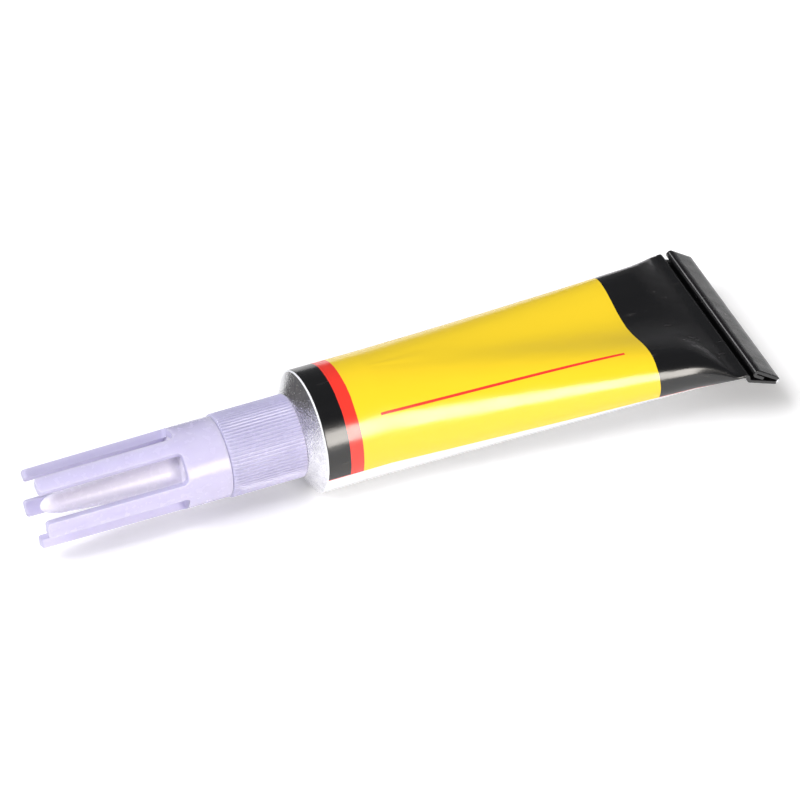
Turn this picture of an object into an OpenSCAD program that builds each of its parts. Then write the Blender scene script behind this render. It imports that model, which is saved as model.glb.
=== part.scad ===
// Small aluminium glue tube with a folded end, a screwed-on nozzle and a slotted push-on cap.
// The origin is on the tube's axis where the round sleeve starts, behind the shoulder.
// The cap points along -X, the folded end lies at +X with its width along Y, and +Z is up.

/* [Sleeve] */
// Outer diameter of the round sleeve
sleeve_d = 13.5; // [11:0.5:18]
// Wall of the drawn sleeve
sleeve_wall = 0.13; // [0.1:0.01:0.2]
// Wall of the stiffer ring next to the shoulder
ring_wall = 0.25; // [0.22:0.01:0.4]
// Length that stays round behind the shoulder
round_len = 7; // [4:0.5:12]
// Length over which the sleeve flattens towards the fold
taper_len = 38.5; // [30:0.5:60]
// Course of the flattening along the middle, where 1 is a straight wedge
taper_power = 1.2; // [1:0.05:2]
// Half height that the fuller sides would have at the web if they did not close
side_end_r = 1.95; // [0.5:0.05:3]
// Length over which the sides close to the web
side_close_len = 4.5; // [2:0.5:8]
// Height of the flattened end above the tube's axis
end_lift = 0.25; // [0:0.05:1]
// Share by which the flattened end is wider than the sleeve's own girth
end_spread_ratio = 0.05; // [0:0.01:0.08]

/* [Shoulder and neck] */
// Slope of the shoulder against a flat disc, in degrees
shoulder_angle = 32; // [20:1:40]
// Thickness of the shoulder
shoulder_wall = 0.45; // [0.3:0.05:0.8]
// Rounding of the rim between shoulder and sleeve
rim_round = 0.3; // [0.1:0.05:0.5]
// Outer diameter of the neck
neck_d = 6.9; // [6:0.1:8]
// Bore of the neck
neck_bore_d = 5.2; // [4:0.1:5.6]
// Length of the neck in front of the shoulder
neck_len = 5.2; // [4:0.1:7]
// Thickness of the foil that closes the neck
membrane_wall = 0.15; // [0.1:0.01:0.3]

/* [Folded end] */
// Flat web between the sleeve and the fold
web_len = 1; // [0.6:0.1:3]
// Length of the lower layer of the fold
fold_len = 3.2; // [2.2:0.1:5]
// Length of the flap that is turned back on top
flap_len = 2.8; // [2:0.05:4.6]
// Length of the inner layer, which ends in the cut edge
tuck_len = 1.1; // [0.5:0.1:1.6]
// Slope of the fold below the web, in degrees
fold_droop = 22; // [0:1:30]
// Angle by which the flap springs open, in degrees
flap_gape = 14; // [10:1:20]
// Middle radius of the bend at the end of the tube
end_bend_r = 0.27; // [0.24:0.01:0.5]
// Middle radius of the bend at the flap's free edge
flap_bend_r = 0.25; // [0.23:0.01:0.4]
// Middle radius of the bends that set the fold below the web
jog_bend_r = 0.25; // [0.22:0.01:0.5]
// Steepest slope where the web drops to the lower layer, in degrees
jog_angle = 80; // [60:1:85]
// Drop of the lower layer below the web
jog_drop = 0.44; // [0.2:0.02:0.8]

/* [End seal and filling] */
// Thickness of the latex band in the flattened end
seal_t = 0.1; // [0.06:0.01:0.2]
// Length of the latex band
seal_len = 2.4; // [1.5:0.1:5]
// Clearance between the band and the wall on each side
seal_clear = 0.02; // [0.01:0.01:0.05]
// Clearance between the filling and the wall
fill_clear = 0.15; // [0.1:0.05:0.4]
// Height of the liquid's surface above the tube's axis
fill_level = 1; // [-2:0.5:4]

/* [Nozzle] */
// Length of the ribbed collar
collar_len = 8.4; // [7.5:0.1:12]
// Wall of the collar, to the crests of its ribs
collar_wall = 1.05; // [0.8:0.05:1.6]
// Number of ribs round the collar
rib_count = 72; // [36:4:96]
// Depth of the grooves between the ribs
rib_depth = 0.14; // [0.05:0.01:0.25]
// Bevel at the front edge of the collar
collar_bevel = 0.3; // [0.1:0.05:0.4]
// Clearance between the collar and the neck, and to the shoulder
neck_clear = 0.06; // [0.02:0.01:0.1]
// Diameter of the spout at the collar
spout_base_d = 3.9; // [3.2:0.1:4.4]
// Diameter of the spout at its tip
spout_tip_d = 1.7; // [1.5:0.1:2.4]
// Length of the spout in front of the collar
spout_len = 15.1; // [10:0.1:24]
// Bore of the spout
spout_bore_d = 0.9; // [0.6:0.1:1.2]

/* [Cap] */
// Radial step from the collar's ribs down to the cap
cap_step = 0.17; // [0.05:0.01:0.4]
// Gap between the collar and the cap
cap_gap = 0.05; // [0.03:0.01:0.4]
// Clearance between the spout and the inner cone
cap_clear = 0.06; // [0.03:0.01:0.1]
// Length of the plain grip ring
grip_len = 4.8; // [3:0.1:8]
// Wall of the grip ring and of the fingers at their root
cap_wall = 0.95; // [0.7:0.05:1.3]
// Thickness of the floor that carries the inner cone
floor_wall = 1; // [0.8:0.1:1.6]
// Number of fingers
finger_count = 5; // [4:1:8]
// Width of a finger, in degrees
finger_angle = 25; // [16:1:30]
// Direction of the first finger above the -Y side, in degrees
finger_start = 4; // [0:1:71]
// Reach of the fingers beyond the point of the inner cone
finger_reach = 0.65; // [0.3:0.05:2]
// Draft of the fingers outside, from root to end
finger_draft = 0.1; // [0:0.02:0.2]
// Rounding at the ends of the fingers
finger_round = 0.3; // [0.1:0.05:0.35]
// Rounding in the closed corners of the slots
slot_corner_r = 0.6; // [0.2:0.1:1]
// Wall of the inner cone
cone_wall = 0.5; // [0.4:0.05:0.7]
// Room between the spout's tip and the end of its socket
tip_room = 0.3; // [0.2:0.1:1]
// Solid stretch of the cone behind its rounded point
spike_len = 1.8; // [1:0.1:4]
// Length of the rounded point
nose_len = 2.8; // [1.5:0.1:4]
// Radius where the rounded point starts
nose_r = 1.2; // [1:0.05:1.4]

/* [Hidden] */

// Fineness of round shapes, of the rings of the flattening sleeve and of the bends
$fn = 96;
side_points = 20;
ring_points = 2 * side_points + 2;
ring_steps = 20;
bend_steps = 6;
// Course of the rings along the sleeve, which lie closer together towards the web
ring_power = 1.5;
arc_steps = 6;
// Lap between joined shapes, overshoot of cuts and inset that keeps joined faces apart
lap = 0.3;
cut_over = 1;
skin_inset = 0.02;

// Sleeve sizes that follow from the above
sleeve_r = sleeve_d / 2;
seal_gap = seal_t + 2 * seal_clear;
web_half = skin_inset + sleeve_wall + seal_gap / 2;
web_x = round_len + taper_len;
fold_x = web_x + web_len;

// Shoulder cone, from the end of the rim's rounding
rim_x = -rim_round * cos(shoulder_angle);
rim_r = sleeve_r - rim_round + rim_round * sin(shoulder_angle);
neck_r = neck_d / 2;
neck_bore_r = neck_bore_d / 2;
neck_x = shoulder_x(neck_r) - neck_len;
shoulder_rise = shoulder_wall / cos(shoulder_angle);

// Nozzle and cap stations
collar_bore_r = neck_r + neck_clear;
collar_r = collar_bore_r + collar_wall;
seat_gap = neck_clear / cos(shoulder_angle);
collar_back_x = shoulder_x(collar_r) - seat_gap;
collar_front_x = collar_back_x - collar_len;
spout_tip_x = collar_front_x - spout_len;
socket_x = spout_tip_x - tip_room;
cap_r = collar_r - cap_step;
cap_back_x = collar_front_x - cap_gap;
slot_x = cap_back_x - grip_len;
nose_x = socket_x - spike_len;
point_x = nose_x - nose_len;
finger_x = point_x - finger_reach;
finger_pitch = 360 / finger_count;
slot_half_angle = (finger_pitch - finger_angle) / 2;
// Radii between which the slots are cut, and the overshoot of their corners in degrees
slot_from = (cap_r - cap_wall) / 2;
slot_to = cap_r + cut_over;
corner_over = 0.1;

// Place of the shoulder's outer face along the axis at radius r
function shoulder_x(r) = rim_x - (rim_r - r) * tan(shoulder_angle);

// Radius of the spout's outside at place x
function spout_r(x) =
    spout_base_d / 2 - (spout_base_d - spout_tip_d) / 2 * (collar_front_x - x) / spout_len;

// Share of the taper passed at place x, and the flattening reached there
function taper_share(x) = max(0, min(1, (x - round_len) / taper_len));
function flatness(x) = pow(taper_share(x), taper_power);

// Half height in the middle of the sleeve's section at place x, and its lift above the axis
function middle_h(x) = sleeve_r - (sleeve_r - web_half) * flatness(x);
function section_lift(x) = end_lift * pow(taper_share(x), 2);

// Radius of the section's round sides, and half the width of the stretch between them
function side_r(x) =
    let (wedge_r = sleeve_r - (sleeve_r - side_end_r) * taper_share(x))
    let (closed = max(0, min(1, (x - web_x) / side_close_len + 1)))
    web_half + (wedge_r - web_half) * (1 - pow(closed, 2));
function section_s(x) = PI / 2 * (sleeve_r - side_r(x)) * (1 + end_spread_ratio * flatness(x));
fold_half_w = section_s(web_x) + web_half;

// Half of the sleeve's section at place x: its middle below or above, then the round side
function half_section(x, inset, side) = concat(
    [[x, 0, section_lift(x) - side * (middle_h(x) - inset)]],
    [
        for (i = [0:side_points - 1])
            let (a = (i + 0.5) * 180 / side_points - 90)
            let (r = side_r(x) - inset)
            [x, side * (section_s(x) + r * cos(a)), section_lift(x) + side * r * sin(a)]
    ]
);
function section_points(x, inset) = concat(half_section(x, inset, 1), half_section(x, inset, -1));

// Places of the sections between two ends; those on the taper are shared by all lofts
function stations(from, to) = concat(
    [from],
    [
        for (j = [0:ring_steps])
            let (x = round_len + taper_len * (1 - pow(1 - j / ring_steps, ring_power)))
            if (x > from + lap / 2 && x < to - lap / 2) x
    ],
    [to]
);

// Closed loft of the sleeve's section between two places
module sleeve_loft(from, to, inset) {
    places = stations(from, to);
    last = len(places) - 1;
    points = [for (x = places) each section_points(x, inset)];
    sides = [
        for (j = [0:last - 1], i = [0:ring_points - 1])
            let (a = j * ring_points + i)
            let (b = j * ring_points + (i + 1) % ring_points)
            each [[a, a + ring_points, b + ring_points], [a, b + ring_points, b]]
    ];
    front = [for (i = [0:ring_points - 1]) i];
    back = [for (i = [ring_points - 1:-1:0]) last * ring_points + i];
    polyhedron(points, concat(sides, [front, back]));
}

// Turns a profile of radius and place along the axis about the X axis
module turned() {
    rotate([0, 90, 0])
        rotate_extrude()
            children();
}

// Points of a round stretch in a profile
function arc(centre, r, a0, a1) = [
    for (i = [0:arc_steps])
        let (a = a0 + (a1 - a0) * i / arc_steps)
        centre + r * [cos(a), sin(a)]
];

// Neck with its closing foil, shoulder and the round ring of the sleeve
module tube_front() {
    inner_r = sleeve_r - ring_wall;
    turned()
        polygon(concat(
            [[inner_r, round_len], [sleeve_r, round_len]],
            arc([sleeve_r - rim_round, 0], rim_round, 0, shoulder_angle - 90),
            [
                [neck_r, shoulder_x(neck_r)],
                [neck_r, neck_x],
                [0, neck_x],
                [0, neck_x + membrane_wall],
                [neck_bore_r, neck_x + membrane_wall],
                [neck_bore_r, shoulder_x(neck_bore_r) + shoulder_rise],
                [inner_r, shoulder_x(inner_r) + shoulder_rise]
            ]
        ));
}

// Runs of the folded strip: straight length, then the turn at its end and the turn's radius
fold_runs = [
    [lap, -jog_angle, jog_bend_r],
    [jog_drop, jog_angle - fold_droop, jog_bend_r],
    [fold_len, 180 - flap_gape, end_bend_r],
    [flap_len, 180, flap_bend_r],
    [tuck_len, 0, flap_bend_r]
];

// Middle line of the strip from run n on, as places with their headings
function strip_line(at, heading, n = 0) =
    n == len(fold_runs) ? [] :
    let (run = fold_runs[n])
    let (bend_at = at + run[0] * [cos(heading), sin(heading)])
    let (side = sign(run[1]))
    let (centre = bend_at + side * run[2] * [-sin(heading), cos(heading)])
    let (turn = [
        for (i = [1:bend_steps])
            let (h = heading + run[1] * i / bend_steps)
            [centre - side * run[2] * [-sin(h), cos(h)], h]
    ])
    side == 0
        ? [[bend_at, heading]]
        : concat([[bend_at, heading]], turn, strip_line(turn[bend_steps - 1][0], heading + run[1], n + 1));

// End of the tube, folded over twice across its full width
module fold() {
    half_t = web_half - skin_inset;
    start = [fold_x - lap, end_lift];
    line = concat([[start, 0]], strip_line(start, 0));
    above = [for (p = line) p[0] + half_t * [-sin(p[1]), cos(p[1])]];
    below = [for (i = [len(line) - 1:-1:0]) line[i][0] - half_t * [-sin(line[i][1]), cos(line[i][1])]];
    rotate([90, 0, 0])
        linear_extrude(2 * fold_half_w, center = true)
            polygon(concat(above, below));
}

module tube_body() {
    color("gold") {
        tube_front();
        difference() {
            sleeve_loft(round_len - lap, fold_x, skin_inset);
            sleeve_loft(round_len - lap - cut_over, fold_x - lap - web_half, skin_inset + sleeve_wall);
        }
        fold();
    }
}

// Latex band between the walls of the flattened end, as wide as the sleeve is at each place
module end_seal() {
    back_x = fold_x - lap - web_half - seal_clear;
    front_x = back_x - seal_len;
    front_half_w = section_s(front_x);
    back_half_w = section_s(web_x);
    color("ivory")
        translate([0, 0, end_lift - seal_t / 2])
            linear_extrude(seal_t)
                polygon([
                    [front_x, -front_half_w],
                    [web_x, -back_half_w],
                    [back_x, -back_half_w],
                    [back_x, back_half_w],
                    [web_x, back_half_w],
                    [front_x, front_half_w]
                ]);
}

// Liquid in the sleeve, level on top as the tube lies, with air above it
module adhesive_fill() {
    inset = skin_inset + sleeve_wall + fill_clear;
    front_x = shoulder_x(sleeve_r) + shoulder_rise + fill_clear;
    back_x = fold_x - lap - web_half - seal_len - 2 * fill_clear;
    color("lightcyan")
        intersection() {
            sleeve_loft(front_x, back_x, max(inset, ring_wall + fill_clear));
            translate([front_x - cut_over, -sleeve_d, fill_level - 2 * sleeve_d])
                cube([back_x - front_x + 2 * cut_over, 2 * sleeve_d, 2 * sleeve_d]);
        }
}

// One rib and its groove, as the share of the pitch passed and the share of the depth reached
rib_course = [[0, 0], [0.3, 0], [0.5, 1], [0.8, 1]];

// Outline across the ribbed collar
module rib_outline() {
    step = 360 / rib_count;
    polygon([
        for (i = [0:rib_count - 1], p = rib_course)
            (collar_r - rib_depth * p[1]) * [cos((i + p[0]) * step), sin((i + p[0]) * step)]
    ]);
}

// Ribbed screw collar with the tapered spout
module nozzle() {
    chamber_x = neck_x - 2 * neck_clear;
    color("lavender")
        difference() {
            union() {
                intersection() {
                    translate([collar_front_x, 0, 0])
                        rotate([0, 90, 0])
                            linear_extrude(collar_len)
                                rib_outline();
                    turned()
                        polygon([
                            [0, collar_front_x],
                            [collar_r - collar_bevel, collar_front_x],
                            [collar_r + lap, collar_front_x + collar_bevel + lap],
                            [collar_r + lap, collar_back_x + cut_over],
                            [0, collar_back_x + cut_over]
                        ]);
                }
                turned()
                    polygon([
                        [0, collar_front_x + lap],
                        [spout_r(collar_front_x + lap), collar_front_x + lap],
                        [spout_tip_d / 2, spout_tip_x],
                        [0, spout_tip_x]
                    ]);
            }
            // Socket for the neck, opening along the shoulder
            turned()
                polygon([
                    [0, chamber_x],
                    [collar_bore_r, chamber_x],
                    [collar_bore_r, shoulder_x(collar_bore_r) - seat_gap],
                    [collar_r + lap, shoulder_x(collar_r + lap) - seat_gap],
                    [collar_r + lap, cut_over],
                    [0, cut_over]
                ]);
            translate([spout_tip_x - cut_over, 0, 0])
                rotate([0, 90, 0])
                    cylinder(d = spout_bore_d, h = chamber_x - spout_tip_x + 2 * cut_over);
        }
}

// Grip ring and fingers as one open sleeve, before the slots are cut
module cap_sleeve() {
    end_r = cap_r - finger_draft;
    end_inner_r = end_r - cap_wall + 2 * finger_draft;
    turned()
        polygon(concat(
            [[cap_r - cap_wall, cap_back_x], [cap_r, cap_back_x], [cap_r, slot_x]],
            arc([end_r - finger_round, finger_x + finger_round], finger_round, 0, -90),
            [[end_inner_r, finger_x], [cap_r - cap_wall, slot_x]]
        ));
}

// Wedge about +Z that widens outwards from the inner cone, from the fingers' ends to place x
module sector(half_angle, x) {
    translate([finger_x - cut_over, 0, 0])
        rotate([90, 0, 90])
            linear_extrude(x - finger_x + cut_over)
                polygon([
                    slot_from * [-tan(half_angle), 1],
                    slot_from * [tan(half_angle), 1],
                    slot_to * [tan(half_angle), 1],
                    slot_to * [-tan(half_angle), 1]
                ]);
}

// Gap between two fingers, open at their ends and closed with rounded corners at the grip ring
module slot() {
    corner_x = slot_x - slot_corner_r;
    corner_angle = atan(slot_corner_r / cap_r);
    corner_at = slot_half_angle - corner_angle + corner_over;
    sector(slot_half_angle, corner_x);
    sector(slot_half_angle - corner_angle, slot_x - skin_inset);
    for (side = [-1, 1])
        rotate([side * corner_at, 0, 0])
            translate([corner_x, 0, slot_from])
                cylinder(
                    h = slot_to - slot_from,
                    r1 = slot_from * tan(corner_angle),
                    r2 = slot_to * tan(corner_angle)
                );
}

// Closed cone over the spout, ending in the piercing point
module inner_cone() {
    floor_x = slot_x + floor_wall;
    shell = cap_clear + cone_wall;
    turned()
        polygon(concat(
            [
                [spout_r(cap_back_x) + cap_clear, cap_back_x],
                [spout_r(cap_back_x) + shell, cap_back_x],
                [spout_r(floor_x) + shell, floor_x],
                [cap_r - cap_wall + lap, floor_x],
                [cap_r - cap_wall + lap, slot_x],
                [spout_r(slot_x) + shell, slot_x],
                [spout_tip_d / 2 + shell, socket_x]
            ],
            [for (i = [0:arc_steps]) let (a = 90 * i / arc_steps) [nose_r * cos(a), nose_x - nose_len * sin(a)]],
            [[0, socket_x], [spout_r(spout_tip_x) + cap_clear, socket_x]]
        ));
}

// Push-on cap: grip ring, guard fingers and the inner cone in one moulding
module cap() {
    color("ghostwhite") {
        difference() {
            cap_sleeve();
            for (i = [0:finger_count - 1])
                rotate([90 - finger_start - (i + 0.5) * finger_pitch, 0, 0])
                    slot();
        }
        inner_cone();
    }
}

tube_body();
end_seal();
adhesive_fill();
nozzle();
cap();
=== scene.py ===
"""Looks of a small aluminium glue tube with a ribbed nozzle and a slotted cap.

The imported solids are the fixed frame. The sleeve with its shoulder, the folded
end, the nozzle, the cap and the liquid are rebuilt here as smooth dressed meshes
in the same places. Sizes of pieces are in millimetres and become metres when a
mesh is made. The studio's places are in metres, but for the camera's.
"""

import logging
import math
from collections.abc import Sequence
from dataclasses import dataclass, field
from enum import Enum

import bmesh
import bpy
from mathutils import Matrix, Vector, noise


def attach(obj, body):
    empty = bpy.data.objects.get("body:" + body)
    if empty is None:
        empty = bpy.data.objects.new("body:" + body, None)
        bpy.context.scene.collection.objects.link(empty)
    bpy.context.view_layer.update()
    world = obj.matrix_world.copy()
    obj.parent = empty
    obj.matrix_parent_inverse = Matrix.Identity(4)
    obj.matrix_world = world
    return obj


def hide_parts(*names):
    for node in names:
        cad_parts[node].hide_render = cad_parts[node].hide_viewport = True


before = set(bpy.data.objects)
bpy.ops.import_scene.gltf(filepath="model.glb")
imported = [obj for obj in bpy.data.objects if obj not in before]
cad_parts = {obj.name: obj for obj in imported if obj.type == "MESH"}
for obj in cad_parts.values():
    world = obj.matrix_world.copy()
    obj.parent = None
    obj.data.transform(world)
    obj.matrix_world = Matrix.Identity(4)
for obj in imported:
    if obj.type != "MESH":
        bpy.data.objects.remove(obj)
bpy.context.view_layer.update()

LOG = logging.getLogger("glue_tube")
MM = 0.001
WELD = 0.004
CREASE = 40.0
AIM = (0.01, 0.0, 0.0)
NOISE_SPAN = (0.3, 0.7)
UNIT_SPAN = (0.0, 1.0)

Pair = tuple[float, float]
Point = tuple[float, float, float]
Colour = tuple[float, float, float]
Socket = bpy.types.NodeSocket
Material = bpy.types.Material
Piece = bpy.types.Object


class Body(Enum):
    """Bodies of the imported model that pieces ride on."""

    TUBE = "tube"
    NOZZLE = "nozzle"
    CAP = "cap"


class Slot(Enum):
    """Material slots of the record."""

    ENAMEL = "enamelled_aluminium"
    LATEX = "latex"
    ADHESIVE = "adhesive"
    NOZZLE = "nozzle_plastic"
    CAP = "cap_plastic"


class Course(Enum):
    """How a ramp passes from one stop to the next."""

    STEP = "CONSTANT"
    EVEN = "LINEAR"


@dataclass(frozen=True)
class Grain:
    """Field of noise in object space.

    A patch is as wide as the size in millimetres, and longer along X, Y and Z by
    the factors of the stretch. Another shift gives another field of the kind.
    """

    size: float
    stretch: Point = (1.0, 1.0, 1.0)
    detail: float = 3.0
    shift: float = 0.0


class FinishTree:
    """Node tree of one material, with short calls for the nodes in use."""

    # Numbers of the colour sockets of a Mix node.
    MIX_INPUTS = (6, 7)
    MIX_OUTPUT = 2

    def __init__(self, name: str) -> None:
        """Start a material with a Principled surface.

        Args:
            name: Name of the material.
        """
        self.material = bpy.data.materials.new(name)
        self.material.use_nodes = True
        tree = self.material.node_tree
        self.nodes = tree.nodes
        self.links = tree.links
        self.surface = self.nodes["Principled BSDF"]
        self.object_coords = self.add("ShaderNodeTexCoord").outputs["Object"]

    def add(self, kind: str, **settings: object) -> bpy.types.ShaderNode:
        """Add a node.

        Args:
            kind: Blender's name of the node type.
            settings: Properties to set on the node.

        Returns:
            The new node.
        """
        made = self.nodes.new(kind)
        for name, value in settings.items():
            setattr(made, name, value)
        return made

    def feed(self, target: Socket, value: object) -> None:
        """Link a socket to an input, or set the input to a plain value.

        Args:
            target: Input that is fed.
            value: Output socket, number, colour or vector.
        """
        if isinstance(value, Socket):
            self.links.new(value, target)
        else:
            target.default_value = value

    def set(self, **inputs: object) -> None:
        """Feed inputs of the Principled surface, named with _ for spaces."""
        for name, value in inputs.items():
            self.feed(self.surface.inputs[name.replace("_", " ")], value)

    def along(self, axis: str) -> Socket:
        """Object coordinate along one axis.

        Args:
            axis: Letter of the axis.

        Returns:
            Socket with the coordinate in metres.
        """
        split = self.add("ShaderNodeSeparateXYZ")
        self.feed(split.inputs[0], self.object_coords)
        return split.outputs[axis]

    def math(self, operation: str, first: object, second: object = 0.0) -> Socket:
        """Combine two values.

        Args:
            operation: Blender's name of the operation.
            first: First value or socket.
            second: Second value or socket.

        Returns:
            Socket with the result.
        """
        made = self.add("ShaderNodeMath", operation=operation)
        self.feed(made.inputs[0], first)
        self.feed(made.inputs[1], second)
        return made.outputs[0]

    def within(self, value: Socket, low: float, high: float) -> Socket:
        """Mask that is 1 where a value lies between two limits.

        Args:
            value: Socket to compare.
            low: Lower limit.
            high: Upper limit.

        Returns:
            Socket with 1 inside and 0 outside.
        """
        above = self.math("GREATER_THAN", value, low)
        return self.math("MULTIPLY", above, self.math("LESS_THAN", value, high))

    def grain(self, kind: Grain) -> Socket:
        """Noise in object space.

        Args:
            kind: Size and course of the noise.

        Returns:
            Socket with values about 0.5.
        """
        place = self.add("ShaderNodeMapping")
        self.feed(place.inputs["Vector"], self.object_coords)
        place.inputs["Scale"].default_value = [1.0 / (kind.size * MM * s) for s in kind.stretch]
        place.inputs["Location"].default_value = [kind.shift] * 3
        made = self.add("ShaderNodeTexNoise")
        self.feed(made.inputs["Vector"], place.outputs["Vector"])
        made.inputs["Scale"].default_value = 1.0
        made.inputs["Detail"].default_value = kind.detail
        return made.outputs["Fac"]

    def spread(self, value: Socket, source: Pair, target: Pair) -> Socket:
        """Carry a value from one range to another, clamped at the ends.

        Args:
            value: Socket to carry over.
            source: Range of the value.
            target: Range of the result.

        Returns:
            Socket with the result.
        """
        made = self.add("ShaderNodeMapRange")
        made.clamp = True
        self.feed(made.inputs["Value"], value)
        for side, (low, high) in (("From", source), ("To", target)):
            made.inputs[f"{side} Min"].default_value = low
            made.inputs[f"{side} Max"].default_value = high
        return made.outputs["Result"]

    def ramp(
        self,
        value: Socket,
        stops: Sequence[tuple[float, Colour]],
        course: Course = Course.EVEN,
    ) -> Socket:
        """Colour ramp over a value from 0 to 1.

        Args:
            value: Socket that picks the colour.
            stops: Places and colours, in rising order.
            course: How colours pass into each other.

        Returns:
            Socket with the colour.
        """
        made = self.add("ShaderNodeValToRGB")
        made.color_ramp.interpolation = course.value
        elements = made.color_ramp.elements
        while len(elements) < len(stops):
            elements.new(1.0)
        for element, (place, colour) in zip(elements, stops):
            element.position = place
            element.color = (*colour, 1.0)
        self.feed(made.inputs["Fac"], value)
        return made.outputs["Color"]

    def mix(self, share: object, first: object, second: object) -> Socket:
        """Mix two colours.

        Args:
            share: Share of the second colour.
            first: First colour or socket.
            second: Second colour or socket.

        Returns:
            Socket with the mixed colour.
        """
        made = self.add("ShaderNodeMix", data_type="RGBA")
        self.feed(made.inputs["Factor"], share)
        for target, value in zip(self.MIX_INPUTS, (first, second)):
            whole = value if isinstance(value, Socket) else (*value, 1.0)
            self.feed(made.inputs[target], whole)
        return made.outputs[self.MIX_OUTPUT]

    def bump(
        self,
        height: Socket,
        depth: float,
        strength: float = 1.0,
        below: Socket | None = None,
    ) -> Socket:
        """Normal from a height field.

        Args:
            height: Socket with the height, from 0 to 1.
            depth: Height in millimetres that 1 stands for.
            strength: Share of the effect.
            below: Normal that this bump lies on.

        Returns:
            Socket with the normal.
        """
        made = self.add("ShaderNodeBump")
        made.inputs["Distance"].default_value = depth * MM
        made.inputs["Strength"].default_value = strength
        self.feed(made.inputs["Height"], height)
        if below is not None:
            self.feed(made.inputs["Normal"], below)
        return made.outputs["Normal"]


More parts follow.
